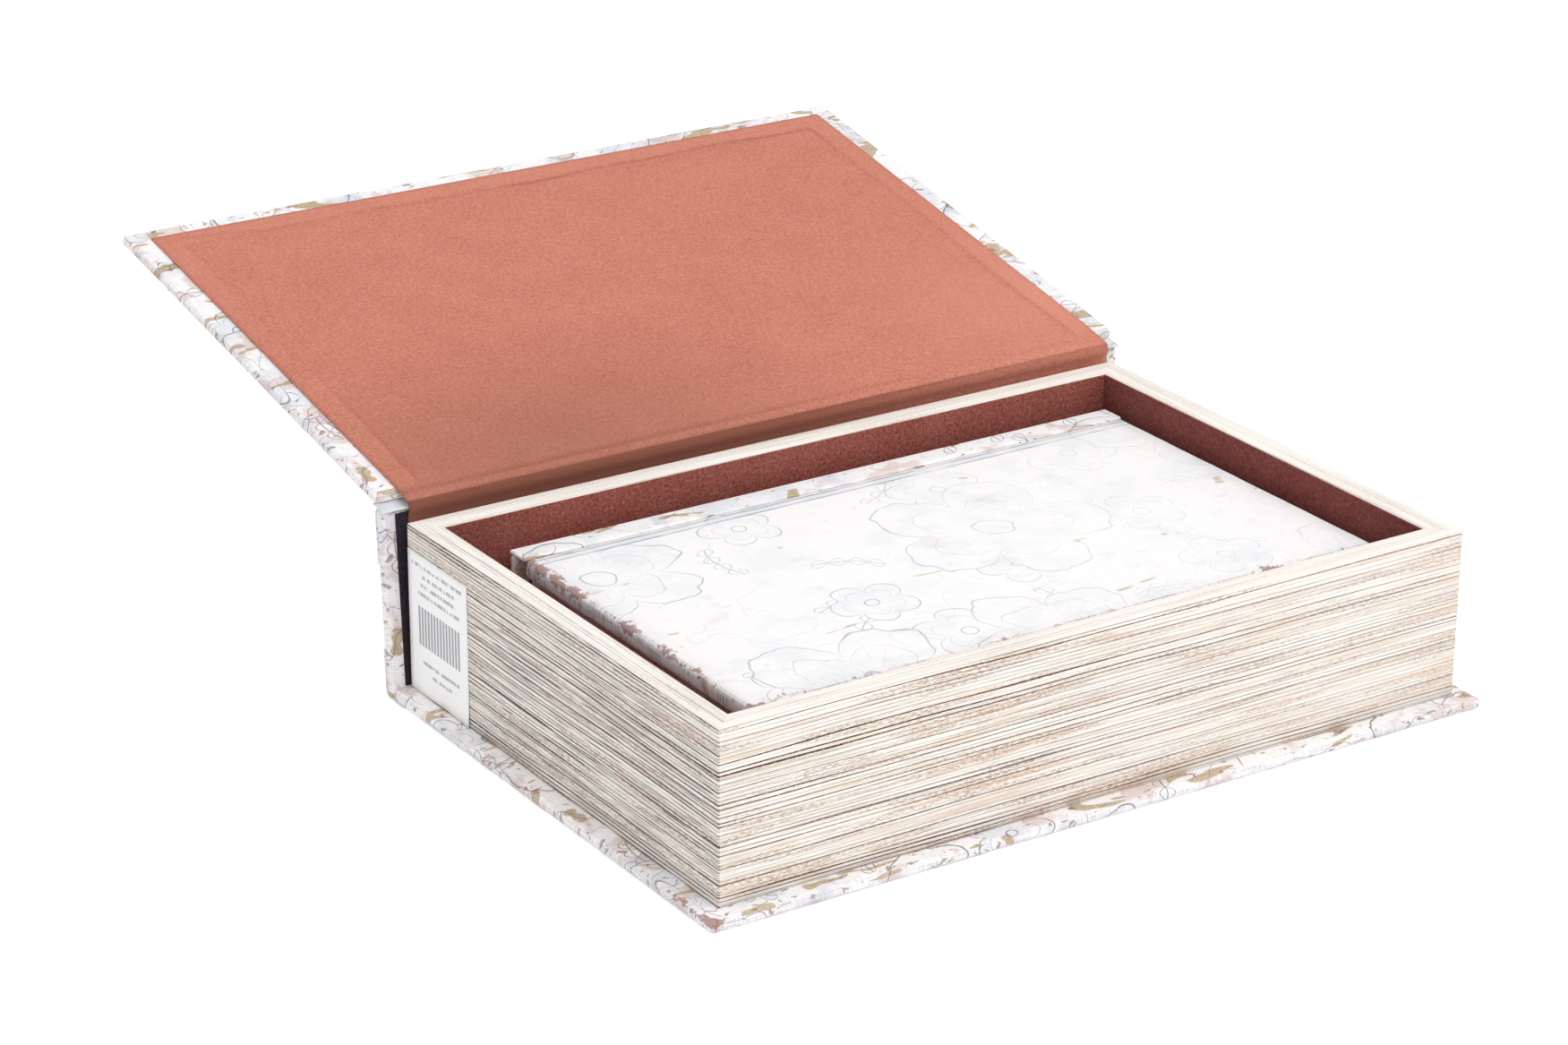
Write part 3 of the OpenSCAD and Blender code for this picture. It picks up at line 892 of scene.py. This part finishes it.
# back along the underside, round the spine's foot and up its outer face
bottomFold = [np.array([y * mm, 0.17 * mm]) for y in (84, 87, 90, 91.5)]
bottomFold += arcPath(spinePivot, 1.86 * mm, -90 + math.degrees(spineLean), -4)
heights = np.linspace(2 * mm, foldSizes["bottomEnd"], 5)
bottomFold += [spinePoint(foldSizes["spineFace"], h) for h in heights]
bottomWeb = sheetAlong("bottomFoldPaper", np.array(bottomFold), foldSizes, -1, foldSizes["bottomEnd"])
dress(bottomWeb, coverPaper, None, "cover_paper")
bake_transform(bottomWeb)
print("folds done")


# Velour sheet over lid, hinge and the top of the spine

velourSizes = {
    "halfWidth": 133.8 * mm,
    "headEnd": 132.2 * mm,
    "tailEnd": 136.3 * mm,
    "thick": 0.35 * mm,
    "farEdge": 179.3 * mm,
    "height": 3.5 * mm,
    "firstCrease": 2.7 * mm,
    "turnInEdge": 7.5 * mm,
    "step": 0.36 * mm,
    "pleat": 0.3 * mm,
    "crease": 0.14 * mm,
    "softness": 0.04 * mm,
    "taper": 7 * mm,
}

# the section past the lid's fold edge, as (y, z) in mm: a facet over the hinge and the strap down to the
# spine; then the heights up the spine's inner face at which it lies, in mm
velourFacet = [
    (95.5, 66.7), (95.1, 66.48), (94.2, 65.88), (93.3, 65.24),
    (92.62, 64.76), (92.48, 64.64), (92.42, 64.5), (92.4, 64.3),
]
velourStrap = [
    (92.42, 63.2), (92.6, 62.2), (92.94, 61.1), (93.4, 60.1),
    (93.8, 59.2), (93.98, 58.3), (93.93, 57.4),
]
velourFoot = [53.5, 51.5, 49]


def spaced(length, size, dense):
    # sample places from 0 to length, closer together inside each (from, to) of dense
    close = [np.linspace(a, b, int((b - a) / (0.4 * mm)) + 1) for a, b in dense]
    return np.unique(np.concatenate([np.linspace(0, length, int(length / size) + 1), *close]))


def velourPath(sizes):
    # the section: along the lid, a short facet past the board's edge, then down to the spine's inner face
    lidLength = sizes["farEdge"] - sizes["firstCrease"] - 0.3 * mm
    places = spaced(lidLength, 1.8 * mm, [(4 * mm, 11 * mm)])
    lid = [lidPoint(sizes["farEdge"] - s, sizes["height"]) for s in places]
    hinge = [np.array(p) * mm for p in velourFacet + velourStrap]
    foot = [spinePoint(-2.45 * mm, h * mm) for h in velourFoot]
    return np.array([*lid, *hinge, *foot])


def velourSheet(sizes):
    # the path carried across the box, where each point moves off along the path's normal by the lift: up on
    # the ridge along the edges, down in the pleat and the creases, and a little up and down all over
    path = velourPath(sizes)
    tangent = np.gradient(path, axis=0)
    tangent /= np.linalg.norm(tangent, axis=1)[:, None]
    normal = np.stack([tangent[:, 1], -tangent[:, 0]], 1)
    normal *= math.copysign(1, normal[0][1])
    length = np.concatenate([[0], np.cumsum(np.linalg.norm(np.diff(path, axis=0), axis=1))])
    width = 2 * sizes["halfWidth"]
    across = spaced(width, 2 * mm, [(4 * mm, 11 * mm), (width - 11 * mm, width - 4 * mm)]) - width / 2
    s, x = np.meshgrid(length, across, indexing="ij")
    lidLength = sizes["farEdge"] - sizes["firstCrease"]
    onLid = 1 / (1 + np.exp((s - lidLength + 3 * mm) / mm))
    # the ridge over the paper turned in below: raised outside a line that wanders a little
    wander = 0.5 * mm * np.sin(x * 47 + 1.3) + 0.35 * mm * np.sin(x * 131) + 0.5 * mm * np.sin(s * 61)
    inset = np.minimum(sizes["halfWidth"] - np.abs(x), s) - wander
    ridge = onLid / (1 + np.exp((inset - sizes["turnInEdge"]) / (0.35 * mm)))
    # a pleat that starts at the far left corner and runs on beside the far edge, and a broken crease
    run = x + sizes["halfWidth"]
    pleat = near(s, 2.5 * mm + run * 0.13, 1.1 * mm) * near(run, 0, 42 * mm)
    crease = near(s, 9.5 * mm + 1.2 * mm * np.sin(x * 33), 1.5 * mm) * (0.5 + 0.5 * np.sin(x * 24 + 0.8))
    soft = sizes["softness"] * np.sin(x * 37 + s * 61) * np.sin(s * 43 - x * 23)
    lift = sizes["step"] * ridge - sizes["pleat"] * pleat - sizes["crease"] * crease * onLid + soft
    taper = np.clip((s - lidLength) / sizes["taper"], 0, 1)
    narrow = 1 - sizes["headEnd"] / sizes["halfWidth"]
    widen = sizes["tailEnd"] / sizes["halfWidth"] - 1
    placeX = x * (1 + taper * np.where(x < 0, -narrow, widen))
    y, z = (path[:, k][:, None] + normal[:, k][:, None] * lift for k in (0, 1))
    faces = gridFaces(len(length), len(across))
    points = np.stack([placeX, y, z], 2).reshape(-1, 3)
    obj = newMesh("velourSheet", points, faces, np.stack([x.ravel()[faces], s.ravel()[faces]], 2))
    # painted shade beside the ridges, in the pleat and creases, on the strap and over the hinge's left
    # half; painted highlight on the ridge, near the hinge's right end and along the far edge
    groove = near(inset, sizes["turnInEdge"] + 0.7 * mm, 0.95 * mm) * onLid
    farSide = np.clip(1.2 - (s - 12 * mm) / (20 * mm), np.where(x > 0, 0.65, 0.35), 1)
    groove *= farSide * np.where(x > 0, 1.3, 0.8)
    shadow = near(x, -75 * mm, 120 * mm) * near(s, 168 * mm, 62 * mm)
    bend = near(s, lidLength + 0.3 * mm, 0.8 * mm) + near(s, lidLength + 4.3 * mm, 0.9 * mm)
    strap = np.clip((s - lidLength - 3.7 * mm) / (0.4 * mm), 0, 1)
    paintedLightPool = near(x, 120 * mm, 70 * mm) * near(s, 150 * mm, 60 * mm)
    nap = 1 - 0.42 * groove - 0.46 * shadow - 0.25 * pleat - 0.18 * crease - 0.2 * bend - 0.5 * strap
    nap += 0.16 * ridge + 0.42 * paintedLightPool + 0.16 * near(s, 0, 60 * mm)
    setField(obj, "nap", nap.ravel())
    return obj, length[-1]


velourPiece, velourLength = velourSheet(velourSizes)
if velourPiece.data.polygons[0].normal.z < 0:
    velourPiece.data.flip_normals()
thicken = velourPiece.modifiers.new("nap", "SOLIDIFY")
thicken.thickness = velourSizes["thick"]
thicken.offset = -1
dress(velourPiece, velour, None, "velour", "lid_lining", "hinge_fold")
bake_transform(velourPiece)
print("velour sheet done")


# Page-edge paper round the trays

pageSizes = {
    "rim": 8.5 * mm,
    "innerRim": 6.5 * mm,
    "drop": 0.5 * mm,
    "cornerRadius": 0.6 * mm,
    "topRadius": 0.45 * mm,
    "thick": 0.5 * mm,
    "cornerPoints": 6,
    "sideParts": 24,
}


def pageWrap(name, low, high, rim, sizes):
    # a section (up the outside, over the rim, down inside and back underneath) carried round a rectangle
    # with mitred corners that have a small radius at the outside
    drop, topRadius, thick, perCorner = (sizes[k] for k in ("drop", "topRadius", "thick", "cornerPoints"))
    low, high = np.array(low, float), np.array(high, float)
    centre, half = (low + high) / 2, (high - low) / 2
    top = high[2]
    bend = np.linspace(0, math.pi / 2, 5)
    rise = np.stack([np.zeros(12), np.linspace(low[2], top - topRadius, 12)], 1)
    over = np.stack([topRadius * (1 - np.cos(bend[1:])), top - topRadius + topRadius * np.sin(bend[1:])], 1)
    turned = top - topRadius + topRadius * np.cos(bend)
    fall = np.stack([rim - topRadius + topRadius * np.sin(bend), turned], 1)
    back = np.array([(rim, top - drop), (rim - thick, top - drop), (rim - thick, top - thick),
                     (thick, top - thick), (thick, low[2])])
    section = np.concatenate([rise, over, fall, back])
    run = np.concatenate([[0], np.cumsum(np.linalg.norm(np.diff(section, axis=0), axis=1))])
    # four corners, in order round the rectangle, starting at the front right
    quarter = np.tile(np.linspace(0, 90, perCorner), 4)
    turn = (np.repeat([-90, 0, 90, 180], perCorner) + quarter) * math.pi / 180
    signX, signY = np.repeat([1, 1, -1, -1], perCorner), np.repeat([-1, 1, 1, -1], perCorner)
    depth = section[:, 0][:, None]
    radius = np.maximum(sizes["cornerRadius"] - depth, 0.01 * mm)
    reach = np.maximum(depth, sizes["cornerRadius"])
    ringX = signX * (half[0] - reach) + radius * np.cos(turn)
    ringY = signY * (half[1] - reach) + radius * np.sin(turn)
    # long sides are split into parts, corner steps stay whole
    ring = np.arange(4 * perCorner)
    parts = np.where(ring % perCorner == perCorner - 1, sizes["sideParts"], 1)
    first = np.repeat(ring, parts)
    share = (np.arange(parts.sum()) - np.repeat(np.cumsum(parts) - parts, parts)) / np.repeat(parts, parts)
    second = (first + 1) % len(ring)
    gx = ringX[:, first] * (1 - share) + ringX[:, second] * share + centre[0]
    gy = ringY[:, first] * (1 - share) + ringY[:, second] * share + centre[1]
    gz = np.repeat(section[:, 1][:, None], gx.shape[1], 1)
    steps = np.hypot(np.diff(gx[0], append=gx[0][0]), np.diff(gy[0], append=gy[0][0]))
    pace = np.concatenate([[0], np.cumsum(steps)])
    rows, columns = gx.shape
    r, c = (g.ravel() for g in np.meshgrid(np.arange(rows), np.arange(columns), indexing="ij"))
    rn, cn = (r + 1) % rows, (c + 1) % columns
    faces = np.stack([r * columns + c, r * columns + cn, rn * columns + cn, rn * columns + c], 1)
    climb = np.concatenate([run, [run[-1] + thick]])
    uvs = np.stack([np.stack([pace[c], pace[c + 1], pace[c + 1], pace[c]], 1),
                    np.stack([climb[r], climb[r], climb[r + 1], climb[r + 1]], 1)], 2)
    return weld(newMesh(name, np.stack([gx, gy, gz], 2).reshape(-1, 3), faces, uvs), 1e-7)


outerPage = pageWrap("pagePaper", pageLow, pageHigh, pageSizes["rim"], pageSizes)
dress(outerPage, pageEdge, "box", "page_paper", "page_paper")
innerPageLow, innerPageHigh = boxOf("inner_page_paper")
innerPage = pageWrap("innerPagePaper", innerPageLow, innerPageHigh, pageSizes["innerRim"], pageSizes)
dress(innerPage, pageEdge, "inner_box", "page_paper", "inner_page_paper")
print("page paper done")


# Label: a white sticker with ruled lines and a block of even bars

labelLook = {
    "paper": tone(255, 255, 255),
    "print": tone(128, 128, 140),
    "printShare": 0.8,
    "wordShare": 0.8,
    "grid": (16, 18),
    "thick": 0.12 * mm,
    "lift": 0.5 * mm,
    "wave": 0.04 * mm,
    "barPitch": 1.9 * mm,
    "barAcross": (5.5 * mm, 32 * mm),
    "barUp": (16.5 * mm, 29.5 * mm),
    "rowHalf": 0.6 * mm,
}
# ruled lines: height up the label, where each starts and where it ends, in mm
labelRows = [(43.0, 2.5, 34), (39.8, 9, 29), (36.8, 8, 30), (33.8, 6, 32), (11.0, 8, 31), (7.6, 10, 27)]


def labelSheet(look):
    # a flat grid over the label's place on the wall; the lower front corner stands off a little, and the
    # sheet isn't quite flat
    shares = [np.linspace(0, 1, count) for count in look["grid"]]
    across, up = np.meshgrid(*shares, indexing="ij")
    y = labelHigh[1] - across * (labelHigh[1] - labelLow[1])
    z = labelLow[2] + up * (labelHigh[2] - labelLow[2])
    away = look["lift"] * np.clip(across - up - 0.55, 0, 1) ** 2 * 4
    away += look["wave"] * np.sin(across * 5 + up * 7) ** 2
    points = np.stack([labelLow[0] - 0.02 * mm - away, y, z], 2).reshape(-1, 3)
    faces = gridFaces(*look["grid"])
    size = labelHigh - labelLow
    flat = np.stack([across.ravel() * size[1], up.ravel() * size[2]], 1)
    obj = newMesh("labelSheet", points, faces, flat[faces])
    if obj.data.polygons[0].normal.x > 0:
        obj.data.flip_normals()
    body = obj.modifiers.new("thick", "SOLIDIFY")
    body.thickness = look["thick"]
    body.offset = -1
    return obj


def labelMaterial(name, look):
    # bars: repeated strips inside one rectangle; ruled lines: thin strips at set heights, broken into words
    ink = Ink(name, look["paper"], 0.5)
    u, v, _ = ink.parts(ink.coordinates.outputs["UV"])

    def strips(pitch, start, end, strength):
        place = ink.absolute(ink.minus(ink.math("FRACT", ink.math("DIVIDE", u, pitch)), 0.5))
        return ink.ramp(place, start, end, strength, 0.0)

    bars = ink.most(strips(look["barPitch"], 0.2, 0.26, 1.0), strips(look["barPitch"] / 2, 0.12, 0.2, 0.7))
    bars = ink.times(bars, ink.between(u, *look["barAcross"]))
    bars = ink.times(bars, ink.between(v, *look["barUp"]))
    rows = 0.0
    for height, start, end in labelRows:
        row = ink.between(v, height * mm - look["rowHalf"], height * mm + look["rowHalf"])
        rows = ink.most(rows, ink.times(row, ink.between(u, start * mm, end * mm)))
    words = ink.ramp(ink.noise(ink.scaled(ink.vector(u, v), 900, 333), 1.0, 1.0), 0.42, 0.5)
    drawn = ink.most(bars, ink.times(rows, ink.times(words, look["wordShare"])))
    return ink.finish(ink.mix(ink.times(drawn, look["printShare"]), look["paper"], look["print"]))


dress(labelSheet(labelLook), labelMaterial("labelPaper", labelLook), "box", "label_paper", "label")

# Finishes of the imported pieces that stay

for name, node in frame["nodes"].items():
    plain = name.replace("inner_", "")
    finish = greyBoard.material
    if "lining" in plain or name == "hinge_fold":
        # the spine lining takes the painted-shadow velour, the other linings the painted-shade wall velour
        finish = foldVelour if name == "spine_lining" else wallVelour
    elif plain.endswith("_cover") or plain == "hinge_fold":
        finish = coverPaper
    elif plain == "page_paper":
        finish = pageEdge
    node.data.materials.clear()
    node.data.materials.append(finish)

# Floor, light and camera

floorLook = {"half": 6.0, "pale": tone(247, 247, 247), "glow": 0.42}
lightPlan = {
    "sky": 0.835,
    "key": {"place": (0.1, -1.1, 1.5), "target": (0, 0.05, 0.03), "power": 10, "size": 1.2},
}
cameraView = {
    "target": (0.00061, 0.085566, 0.0308),
    "azimuth": -33.054,
    "elevation": 22.189,
    "roll": 0.214,
    "distance": 1.42277,
    "lens": 100.59,
    "sensor": 36,
}


def seenRay(tree):
    # 1 for a ray that the camera sees, straight, mirrored or through glass
    rays = tree.nodes.new("ShaderNodeLightPath")
    share = rays.outputs["Is Camera Ray"]
    for name in ("Is Glossy Ray", "Is Transmission Ray"):
        either = tree.nodes.new("ShaderNodeMath")
        either.operation = "MAXIMUM"
        tree.links.new(share, either.inputs[0])
        tree.links.new(rays.outputs[name], either.inputs[1])
        share = either.outputs[0]
    return share


floorCorners = np.array([(-1, -1, 0), (1, -1, 0), (1, 1, 0), (-1, 1, 0)]) * floorLook["half"]
floorMesh = newMesh("floor", floorCorners, np.array([[0, 1, 2, 3]]))
floorInk = Ink("paleFloor", floorLook["pale"], 1.0)
glow = floorInk.nodes.new("ShaderNodeEmission")
glow.inputs["Strength"].default_value = floorLook["glow"]
add = floorInk.nodes.new("ShaderNodeAddShader")
pick = floorInk.nodes.new("ShaderNodeMixShader")
floorInk.links.new(floorInk.shader.outputs[0], add.inputs[0])
floorInk.links.new(glow.outputs[0], add.inputs[1])
floorInk.links.new(seenRay(floorInk.material.node_tree), pick.inputs[0])
floorInk.links.new(floorInk.shader.outputs[0], pick.inputs[1])
floorInk.links.new(add.outputs[0], pick.inputs[2])
floorInk.links.new(pick.outputs[0], floorInk.nodes["Material Output"].inputs["Surface"])
floorMesh.data.materials.append(floorInk.material)

world = bpy.data.worlds.new("studio")
bpy.context.scene.world = world
world.use_nodes = True
tree = world.node_tree
sky = tree.nodes["Background"]
sky.inputs["Strength"].default_value = lightPlan["sky"]
sky.inputs["Color"].default_value = (1, 1, 1, 1)
white = tree.nodes.new("ShaderNodeBackground")
white.inputs["Strength"].default_value = 1.0
choose = tree.nodes.new("ShaderNodeMixShader")
tree.links.new(seenRay(tree), choose.inputs[0])
tree.links.new(sky.outputs[0], choose.inputs[1])
tree.links.new(white.outputs[0], choose.inputs[2])
tree.links.new(choose.outputs[0], tree.nodes["World Output"].inputs["Surface"])


def areaLamp(name, place, target, power, size):
    # a square lamp that faces its target
    data = bpy.data.lights.new(name, "AREA")
    data.energy = power
    data.size = size
    lamp = bpy.data.objects.new(name, data)
    lamp.location = place
    lamp.rotation_euler = (Vector(target) - Vector(place)).to_track_quat("-Z", "Y").to_euler()
    bpy.context.scene.collection.objects.link(lamp)


areaLamp("keyLamp", **lightPlan["key"])

def placeCamera(view):
    # azimuth from the front and elevation in degrees, looking at the target from a distance in metres
    a, e, roll = (math.radians(view[k]) for k in ("azimuth", "elevation", "roll"))
    back = Vector((math.sin(a) * math.cos(e), -math.cos(a) * math.cos(e), math.sin(e)))
    right = Vector((-back.y, back.x, 0)).normalized()
    up = back.cross(right)
    x = math.cos(roll) * right + math.sin(roll) * up
    y = -math.sin(roll) * right + math.cos(roll) * up
    data = bpy.data.cameras.new("camera")
    data.lens = view["lens"]
    data.sensor_width = view["sensor"]
    camera = bpy.data.objects.new("camera", data)
    turn = Matrix((x, y, back)).transposed().to_4x4()
    camera.matrix_world = Matrix.Translation(Vector(view["target"]) + back * view["distance"]) @ turn
    bpy.context.scene.collection.objects.link(camera)
    bpy.context.scene.camera = camera


placeCamera(cameraView)
bpy.context.scene.view_settings.view_transform = "Standard"
print("scene done")
